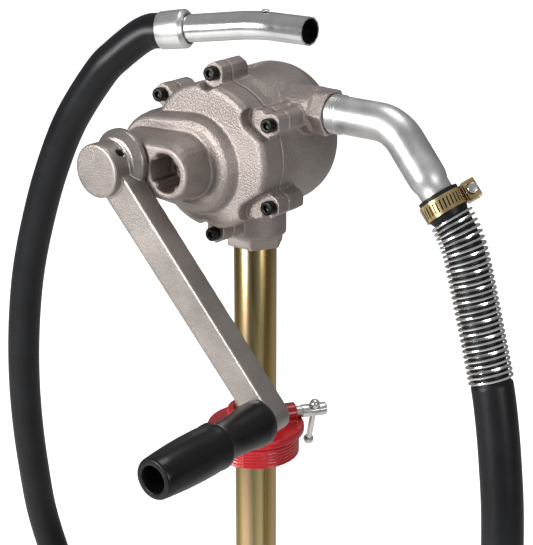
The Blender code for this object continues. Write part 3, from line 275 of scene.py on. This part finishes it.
rubber, tree, shader = new_material("black_hose_rubber")
cloud = noise(tree, 30, 4, 0.6)
tree.links.new(ramp(tree, cloud, [(0.3, (0.005, 0.0052, 0.006)), (0.7, (0.010, 0.0105, 0.012))]),
               shader.inputs["Base Color"])
tree.links.new(ramp(tree, cloud, [(0.3, (0.34,)), (0.7, (0.44,))]), shader.inputs["Roughness"])
shader.inputs["Specular IOR Level"].default_value = 0.22
bump(tree, shader, noise(tree, 700, 4, 0.6), 0.2, 0.0004)

hose = sweep("rubber_hose", hose_route, HOSE_RADIUS, hose_factors, 10)
hose.data.materials.clear()
hose.data.materials.append(rubber)
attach(hose, "pump")
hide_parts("hose")

# ---- Front cover and rear casing ----
# Two sand-blasted aluminium castings, screwed face to face. Like the other castings they keep the
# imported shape, remeshed finely so that the corners come out rounded and the edges catch the light.
CHAMBER_RADIUS = 0.0385
CHAMBER_FRONT = -0.0302
CHAMBER_BACK = 0.0285
body_of_node = {}
for body, names in frame["record"]["behaviour"]["bodies"].items():
    for name in names:
        body_of_node[name] = body


def copy_of(name, label):
    """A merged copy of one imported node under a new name, alone and active."""
    bpy.ops.object.select_all(action="DESELECT")
    source = frame["nodes"][name]
    piece = bpy.data.objects.new(label, source.data.copy())
    bpy.context.scene.collection.objects.link(piece)
    piece.select_set(True)
    bpy.context.view_layer.objects.active = piece
    bm = bmesh.new()
    bm.from_mesh(piece.data)
    bmesh.ops.remove_doubles(bm, verts=bm.verts, dist=0.00002)
    bmesh.ops.dissolve_limit(bm, angle_limit=math.radians(1.5), verts=bm.verts, edges=bm.edges)
    bm.to_mesh(piece.data)
    bm.free()
    return piece


def dress(piece, name, material, angle=38):
    """Gives a piece its finish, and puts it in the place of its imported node."""
    piece.data.materials.clear()
    piece.data.materials.append(material)
    bpy.ops.object.select_all(action="DESELECT")
    piece.select_set(True)
    bpy.context.view_layer.objects.active = piece
    bpy.ops.object.shade_smooth_by_angle(angle=math.radians(angle))
    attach(piece, body_of_node[name])
    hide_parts(name)


def eased(name, material, width=0.0, segments=2, angle=38):
    piece = copy_of(name, name + "_finished")
    if width:
        bevel = piece.modifiers.new("eased_edges", "BEVEL")
        bevel.width = width
        bevel.segments = segments
        bevel.limit_method = "ANGLE"
        bevel.angle_limit = math.radians(34)
        bpy.ops.object.modifier_apply(modifier=bevel.name)
    dress(piece, name, material, angle)
    return piece


def casting(name, material, voxel, passes):
    """A casting with rounded corners: remeshed finely, then smoothed a little."""
    piece = copy_of(name, name + "_finished")
    remesh = piece.modifiers.new("even_skin", "REMESH")
    remesh.mode = "VOXEL"
    remesh.voxel_size = voxel
    bpy.ops.object.modifier_apply(modifier=remesh.name)
    # The machined chamber inside keeps its size: only the skin outside it is softened.
    outside = piece.vertex_groups.new(name="outside")
    outside.add([v.index for v in piece.data.vertices
                 if math.hypot(v.co.x, v.co.z - PUMP_HEIGHT) > CHAMBER_RADIUS
                 or v.co.y < CHAMBER_FRONT or v.co.y > CHAMBER_BACK], 1.0, "REPLACE")
    smooth = piece.modifiers.new("soft_corners", "SMOOTH")
    smooth.vertex_group = outside.name
    smooth.iterations = passes
    smooth.factor = 0.5
    bpy.ops.object.modifier_apply(modifier=smooth.name)
    dress(piece, name, material, 60)
    return piece


def mixed(tree, factor, first, second, mode="MIX"):
    """A colour mix; each of the three may be a socket or a value."""
    made = node(tree, "ShaderNodeMix", data_type="RGBA", blend_type=mode)
    for key, value in (("Factor", factor), ("A", first), ("B", second)):
        sockets = [s for s in made.inputs if s.name == key and s.enabled]
        socket = sockets[-1]
        if isinstance(value, bpy.types.NodeSocket):
            tree.links.new(value, socket)
        elif key == "Factor":
            socket.default_value = value
        else:
            socket.default_value = (*value, 1)
    return [s for s in made.outputs if s.enabled][-1]


# Convex edges of a densely meshed piece, lightened there as a painted highlight.
edge_highlight_group, given, result = shader_group("painted_edge_highlight", (
    ("Low", "NodeSocketFloat", 0.53), ("High", "NodeSocketFloat", 0.62)), "Mask")
shape = node(edge_highlight_group, "ShaderNodeNewGeometry")
span = node(edge_highlight_group, "ShaderNodeMapRange")
edge_highlight_group.links.new(shape.outputs["Pointiness"], span.inputs["Value"])
edge_highlight_group.links.new(given.outputs["Low"], span.inputs["From Min"])
edge_highlight_group.links.new(given.outputs["High"], span.inputs["From Max"])
edge_highlight_group.links.new(span.outputs["Result"], result.inputs["Mask"])


def painted_edge_highlight_mask(tree, low, high):
    """The painted edge highlight, placed in one material with its own range."""
    highlight_node = node(tree, "ShaderNodeGroup", node_tree=edge_highlight_group)
    highlight_node.inputs["Low"].default_value = low
    highlight_node.inputs["High"].default_value = high
    return highlight_node.outputs["Mask"]


def cast_finish(name, dark, light, edge_highlight, roughness, grain_scale, grain_depth, metal):
    material, tree, shader = new_material(name)
    cloud = noise(tree, 26, 4, 0.6)
    colour = ramp(tree, cloud, [(0.3, dark), (0.7, light)])
    speck = ramp(tree, noise(tree, 1500, 2, 0.6), [(0.35, (0.86,)), (0.65, (1.08,))])
    colour = mixed(tree, 1.0, colour, speck, "MULTIPLY")
    # Convex edges are mixed towards the pale edge colour: a painted highlight.
    colour = mixed(tree, painted_edge_highlight_mask(tree, 0.53, 0.62), colour, edge_highlight)
    tree.links.new(colour, shader.inputs["Base Color"])
    rough = ramp(tree, cloud, [(0.3, (roughness - 0.05,)), (0.7, (roughness + 0.06,))])
    tree.links.new(rough, shader.inputs["Roughness"])
    shader.inputs["Metallic"].default_value = metal
    bump(tree, shader, noise(tree, grain_scale, 3, 0.6), 0.5, grain_depth)
    return material


# The third colour is the painted highlight on the casting's convex edges.
cast = cast_finish("sand_blasted_casting", (0.27, 0.232, 0.214), (0.37, 0.325, 0.302),
                   (0.74, 0.69, 0.655), 0.47, 800, 0.0010, 0.82)
casting("front_cover", cast, 0.0008, 3)
casting("rear_casing", cast, 0.0009, 3)

# ---- Cover screws ----
# Six black socket-head screws of blackened steel hold the cover on. Their edges are eased a little.
EASED_EDGE = 0.0003


def metal_finish(name, dark, light, roughness):
    """Bare or plated metal, faintly clouded in colour and gloss."""
    material, tree, shader = new_material(name)
    cloud = noise(tree, 60, 4, 0.55)
    tree.links.new(ramp(tree, cloud, [(0.3, dark), (0.7, light)]), shader.inputs["Base Color"])
    rough = ramp(tree, cloud, [(0.3, (roughness * 0.8,)), (0.7, (roughness * 1.25,))])
    tree.links.new(rough, shader.inputs["Roughness"])
    shader.inputs["Metallic"].default_value = 1.0
    bump(tree, shader, noise(tree, 900, 3, 0.5), 0.15, 0.0002)
    return material


blackened = metal_finish("black_oxide_steel", (0.018, 0.018, 0.018), (0.045, 0.042, 0.04), 0.38)
for i in range(1, 7):
    eased(f"cover_screw_{i}", blackened, EASED_EDGE)

# ---- Crank and grip ----
# One aluminium casting for hub, flange and arm, fixed by a set screw, with a black plastic grip that
# turns on a plated spindle.
# The third colour is the painted highlight on the arm's convex edges.
arm_cast = cast_finish("satin_arm_casting", (0.33, 0.295, 0.275), (0.41, 0.37, 0.345),
                       (0.72, 0.68, 0.64), 0.38, 1000, 0.0004, 0.88)
bright = metal_finish("bright_zinc_plate", (0.60, 0.60, 0.59), (0.74, 0.74, 0.73), 0.30)

plastic, tree, shader = new_material("black_grip_plastic")
cloud = noise(tree, 45, 4, 0.6)
tree.links.new(ramp(tree, cloud, [(0.3, (0.004, 0.004, 0.004)), (0.7, (0.008, 0.008, 0.008))]),
               shader.inputs["Base Color"])
tree.links.new(ramp(tree, cloud, [(0.3, (0.27,)), (0.7, (0.36,))]), shader.inputs["Roughness"])
shader.inputs["Specular IOR Level"].default_value = 0.28
bump(tree, shader, noise(tree, 900, 3, 0.6), 0.12, 0.0003)

casting("crank_arm", arm_cast, 0.0007, 3)
eased("hub_set_screw", blackened)
eased("grip", plastic, 0.0004)
eased("grip_spindle", bright, EASED_EDGE)
eased("grip_washer", bright, EASED_EDGE)

# ---- Suction tube ----
# Two lengths of yellow-zinc steel tube, joined by a coupling, with a black plastic strainer at the
# foot. The tube's chromate film lies in long soft bands of gold, pink and olive.
BAND_COUNT = 4.0
BAND_WAVER = 0.10
tube_film, tree, shader = new_material("yellow_zinc_tube")
coordinates = node(tree, "ShaderNodeTexCoord")
spread = node(tree, "ShaderNodeTexGradient", gradient_type="RADIAL")
tree.links.new(coordinates.outputs["Object"], spread.inputs["Vector"])
wave = noise(tree, 30, 2, 0.5, (1, 1, 0.08))
wavy_angle = node(tree, "ShaderNodeMath", operation="MULTIPLY_ADD")
wavy_angle.inputs[1].default_value = BAND_WAVER
tree.links.new(wave, wavy_angle.inputs[0])
tree.links.new(spread.outputs["Fac"], wavy_angle.inputs[2])
across_band = node(tree, "ShaderNodeMath", operation="FRACT")
bands = node(tree, "ShaderNodeMath", operation="MULTIPLY")
bands.inputs[1].default_value = BAND_COUNT
tree.links.new(wavy_angle.outputs[0], bands.inputs[0])
tree.links.new(bands.outputs[0], across_band.inputs[0])
film = ramp(tree, across_band.outputs[0], [
    (0.0, (0.30, 0.19, 0.06)), (0.22, (0.56, 0.42, 0.18)), (0.42, (0.50, 0.33, 0.21)),
    (0.60, (0.24, 0.21, 0.09)), (0.80, (0.62, 0.50, 0.24)), (1.0, (0.30, 0.19, 0.06))])
tree.links.new(film, shader.inputs["Base Color"])
shader.inputs["Metallic"].default_value = 1.0
shader.inputs["Roughness"].default_value = 0.24
bump(tree, shader, noise(tree, 400, 3, 0.5, (1, 1, 0.1)), 0.12, 0.0002)

eased("suction_tube_upper", tube_film, EASED_EDGE)
eased("suction_tube_lower", tube_film, EASED_EDGE)
eased("tube_coupling", tube_film, 0.0004)
eased("foot_strainer", plastic, EASED_EDGE)

# ---- Bung adapter and clamp screw ----
# A red-painted casting with a coarse thread, slid along the tube and held by a plated screw whose
# loose bar is turned by hand.
red, tree, shader = new_material("red_gloss_paint")
cloud = noise(tree, 60, 3, 0.5)
colour = ramp(tree, cloud, [(0.3, (0.38, 0.004, 0.010)), (0.7, (0.52, 0.008, 0.014))])
# Convex edges are mixed towards a pale red: a painted highlight.
colour = mixed(tree, painted_edge_highlight_mask(tree, 0.53, 0.64), colour, (0.80, 0.14, 0.12))
tree.links.new(colour, shader.inputs["Base Color"])
shader.inputs["Roughness"].default_value = 0.34
shader.inputs["Specular IOR Level"].default_value = 0.35
shader.inputs["Coat Weight"].default_value = 0.35
shader.inputs["Coat Roughness"].default_value = 0.12
bump(tree, shader, noise(tree, 220, 3, 0.5), 0.25, 0.0004)

casting("bung_adapter", red, 0.0006, 2)
eased("clamp_screw", bright, EASED_EDGE)
eased("tommy_bar", bright, EASED_EDGE)

# ---- Gears, rotor and bearings ----
# Inside the casing: steel shafts and gears in bronze bushes, an iron rotor and plate, rubber seals
# and four plastic vanes.
machined = metal_finish("machined_steel_face", (0.42, 0.42, 0.42), (0.56, 0.56, 0.55), 0.30)
iron = metal_finish("grey_iron", (0.16, 0.16, 0.16), (0.24, 0.24, 0.24), 0.5)
bearing_bronze = metal_finish("bearing_bronze", (0.42, 0.26, 0.10), (0.55, 0.36, 0.16), 0.35)
for name, finish in (("crank_shaft", machined), ("crank_gear", machined), ("rotor_gear", machined),
                     ("rotor_shaft", machined), ("rotor", iron), ("bearing_plate", iron),
                     ("crank_bush", bearing_bronze), ("rotor_front_bush", bearing_bronze),
                     ("rotor_rear_bush", bearing_bronze), ("cover_o_ring", rubber), ("shaft_seal", rubber),
                     ("vane_1", plastic), ("vane_2", plastic), ("vane_3", plastic), ("vane_4", plastic)):
    eased(name, finish)

# ---- Outlet elbow ----
# A zinc-plated steel pipe, bent cold, with a tapered thread where it screws into the casing and a
# drawn-in end under the hose.
SPIGOT_START = 0.0303
SPIGOT_RADIUS = 0.0102
THREADED_END = 0.0482
PIPE_WALL = 0.0025
BORE_OVERRUN = 0.002
dull_zinc = metal_finish("dull_zinc_plate", (0.50, 0.505, 0.505), (0.64, 0.64, 0.635), 0.40)
elbow_bend, elbow_direction = outlet_line(24)
elbow_line = [Vector((THREADED_END, 0, OUTLET_HEIGHT))]
elbow_line += [Vector((0.0500 + 0.004 * i, 0, OUTLET_HEIGHT)) for i in range(11)]
elbow_line += elbow_bend
straight = [0.006, 0.012, 0.018, 0.0235, 0.0262, 0.0285, SPIGOT_START, 0.0330, 0.044, PIPE_END]
elbow_line += [elbow_bend[-1] + elbow_direction * s for s in straight]
narrow = SPIGOT_RADIUS / PIPE_RADIUS
elbow_factors = [1.0] * (len(elbow_line) - 6)
elbow_factors += [1 - (1 - narrow) * share for share in (0.15, 0.5, 0.9, 1, 1, 1)]
elbow = sweep("outlet_elbow_pipe", elbow_line, PIPE_RADIUS, elbow_factors, 14)
bore_line = [elbow_line[0] - Vector((BORE_OVERRUN, 0, 0)), *elbow_line[1:-1],
             elbow_line[-1] + elbow_direction * BORE_OVERRUN]
bore = sweep("elbow_bore", bore_line, PIPE_RADIUS - PIPE_WALL, None, 10)
hollow = elbow.modifiers.new("bore", "BOOLEAN")
hollow.operation = "DIFFERENCE"
hollow.solver = "EXACT"
hollow.object = bore
bpy.context.view_layer.objects.active = elbow
bpy.ops.object.modifier_apply(modifier=hollow.name)
bpy.data.objects.remove(bore, do_unlink=True)
dress(elbow, "outlet_elbow", dull_zinc, 40)

# The last turns of the thread stand clear of the casing's hexagon.
THREAD_STEP = 0.0013
THREAD_TURNS = 5
THREAD_START = 0.0622
THREAD_ROOT = 0.01155
THREAD_CREST = 0.0123
THREAD_SIDES = 48
ridges = []
for i in range(THREAD_TURNS):
    x = THREAD_START + THREAD_STEP * i
    ridges += [(x, THREAD_ROOT), (x + 0.35 * THREAD_STEP, THREAD_CREST),
               (x + 0.65 * THREAD_STEP, THREAD_CREST)]
ridges.append((THREAD_START + THREAD_STEP * THREAD_TURNS, THREAD_ROOT))
bm = bmesh.new()
rings = []
for x, radius in ridges:
    ring = []
    for k in range(THREAD_SIDES):
        around = 2 * math.pi * k / THREAD_SIDES
        ring.append(bm.verts.new((x, radius * math.cos(around), OUTLET_HEIGHT + radius * math.sin(around))))
    rings.append(ring)
for low, high in zip(rings, rings[1:]):
    for k in range(THREAD_SIDES):
        beside = (k + 1) % THREAD_SIDES
        bm.faces.new((low[k], high[k], high[beside], low[beside]))
bm.faces.new(rings[0][::-1])
bm.faces.new(rings[-1])
bmesh.ops.recalc_face_normals(bm, faces=bm.faces)
data = bpy.data.meshes.new("elbow_thread")
bm.to_mesh(data)
bm.free()
thread = bpy.data.objects.new("elbow_thread", data)
bpy.context.scene.collection.objects.link(thread)
thread.data.materials.append(bright)
bpy.ops.object.select_all(action="DESELECT")
thread.select_set(True)
bpy.context.view_layer.objects.active = thread
bpy.ops.object.shade_smooth_by_angle(angle=math.radians(25))
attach(thread, "pump")

# ---- Hose clamp ----
# A thin yellow-zinc steel band round the hose, cut through with the slots that its worm screw bites,
# and the housing that holds the plated screw.
CLAMP_PLACE = 0.0438
SLOT_COUNT = 36
SLOT_SLANT = 0.12
SLOT_HALF_LENGTH = 0.0031
SLOT_HALF_WIDTH = 0.00042
SLOT_DEPTHS = (0.0128, 0.0146)
yellow = metal_finish("yellow_zinc_plate", (0.55, 0.40, 0.17), (0.72, 0.58, 0.32), 0.26)
band = copy_of("hose_clamp_band", "slotted_clamp_band")
band_centre = elbow_bend[-1] + elbow_direction * CLAMP_PLACE
across = Vector((0, 1, 0))
outward = elbow_direction.cross(across).normalized()
bm = bmesh.new()
for k in range(SLOT_COUNT):
    turn = 2 * math.pi * k / SLOT_COUNT
    radial = math.cos(turn) * across + math.sin(turn) * outward
    tangent = -math.sin(turn) * across + math.cos(turn) * outward
    slant = (elbow_direction + SLOT_SLANT * tangent).normalized()
    corners = []
    for depth in SLOT_DEPTHS:
        for lengthwise, widthwise in ((-1, -1), (1, -1), (1, 1), (-1, 1)):
            corners.append(bm.verts.new(
                band_centre + radial * depth + slant * SLOT_HALF_LENGTH * lengthwise
                + tangent * SLOT_HALF_WIDTH * widthwise))
    low, high = corners[:4], corners[4:]
    bm.faces.new(low[::-1])
    bm.faces.new(high)
    for a in range(4):
        b = (a + 1) % 4
        bm.faces.new((low[a], low[b], high[b], high[a]))
bmesh.ops.recalc_face_normals(bm, faces=bm.faces)
data = bpy.data.meshes.new("band_slots")
bm.to_mesh(data)
bm.free()
slots = bpy.data.objects.new("band_slots", data)
bpy.context.scene.collection.objects.link(slots)
slotted = band.modifiers.new("slots", "BOOLEAN")
slotted.operation = "DIFFERENCE"
slotted.solver = "EXACT"
slotted.object = slots
bpy.context.view_layer.objects.active = band
bpy.ops.object.modifier_apply(modifier=slotted.name)
bpy.data.objects.remove(slots, do_unlink=True)
dress(band, "hose_clamp_band", yellow, 30)
eased("hose_clamp_housing", yellow, 0.0004)
eased("hose_clamp_screw", bright, EASED_EDGE)

# ---- Spring guard ----
# Bright spring wire, wound close round the hose behind its clamp so that it can't kink.
WIRE_CIRCLE = 0.0130
WIRE_RADIUS = 0.00085
TURNS = 31
PER_TURN = 20
polished = metal_finish("bright_spring_wire", (0.62, 0.62, 0.61), (0.76, 0.76, 0.75), 0.18)
wire = []
for i in range(TURNS * PER_TURN + 1):
    along = (SPRING_START + (SPRING_END - SPRING_START) * i / (TURNS * PER_TURN)) / hose_step
    k = int(along)
    centre = hose_route[k].lerp(hose_route[k + 1], along - k)
    ahead = (hose_route[k + 6] - hose_route[max(k - 6, 0)]).normalized()
    side = Vector((0, 1, 0)).cross(ahead).normalized()
    up = ahead.cross(side)
    angle = 2 * math.pi * i / PER_TURN
    wire.append(centre + WIRE_CIRCLE * (math.cos(angle) * side + math.sin(angle) * up))
spring = sweep("spring_guard_wire", wire, WIRE_RADIUS, None, 2)
spring.data.materials.append(polished)
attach(spring, "pump")
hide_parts("spring_guard")

# ---- Ferrule and spout ----
# A plated ferrule is crimped over the hose's end and holds the bright bent spout, with one rivet.
ferrule = eased("ferrule", bright, EASED_EDGE)
rivet = eased("spout_rivet", bright, EASED_EDGE)
spout = eased("nozzle_spout", polished)

# ---- Floor and light ----
# A pale floor, clear of the tube's foot where the pump is slid down, and a soft box in front, to the
# right and overhead.
FLOOR_DROP = 0.115
LIT_HEIGHT = 0.15  # the height that the lights are aimed at
bpy.ops.mesh.primitive_plane_add(size=12, location=(0, 0, cad_bounds[0][2] - FLOOR_DROP))
floor = bpy.context.object
floor.name = "floor"
floor_finish, tree, shader = new_material("pale_floor")
shader.inputs["Base Color"].default_value = (0.92, 0.92, 0.92, 1)
shader.inputs["Roughness"].default_value = 0.9
shader.inputs["Emission Color"].default_value = (1, 1, 1, 1)
lit = node(tree, "ShaderNodeLightPath")
tree.links.new(lit.outputs["Is Camera Ray"], shader.inputs["Emission Strength"])
floor.data.materials.append(floor_finish)
floor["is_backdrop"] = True

world = bpy.data.worlds.new("studio")
bpy.context.scene.world = world
world.use_nodes = True
tree = world.node_tree
background = tree.nodes["Background"]
direction = node(tree, "ShaderNodeTexCoord")
split = node(tree, "ShaderNodeSeparateXYZ")
tree.links.new(direction.outputs["Generated"], split.inputs[0])
half = node(tree, "ShaderNodeMath", operation="MULTIPLY_ADD")
half.inputs[1].default_value = 0.5
half.inputs[2].default_value = 0.5
tree.links.new(split.outputs["Z"], half.inputs[0])
sky = ramp(tree, half.outputs[0], [(0.0, (0.05, 0.05, 0.055)), (0.46, (0.13, 0.13, 0.135)),
                                   (0.60, (0.26, 0.26, 0.265)), (1.0, (0.42, 0.42, 0.42))])
seen = node(tree, "ShaderNodeLightPath")
tree.links.new(mixed(tree, seen.outputs["Is Camera Ray"], sky, (1.0, 1.0, 1.0)),
               background.inputs["Color"])
background.inputs["Strength"].default_value = 1.0

for name, spot, power, size in (("key", (-0.7, -2.1, 0.5), 62, 0.8), ("fill", (1.6, -0.4, 0.5), 7, 0.5),
                                ("top", (0.1, 0.3, 1.7), 8, 0.6)):
    bpy.ops.object.light_add(type="AREA", location=spot)
    light = bpy.context.object
    light.name = name + "_light"
    light.data.energy = power
    light.data.size = size
    aim = Vector((0, 0, LIT_HEIGHT)) - Vector(spot)
    light.rotation_euler = aim.to_track_quat("-Z", "Y").to_euler()

size = {"cad": [list(corner) for corner in cad_bounds], "visual": [list(corner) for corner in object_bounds()]}
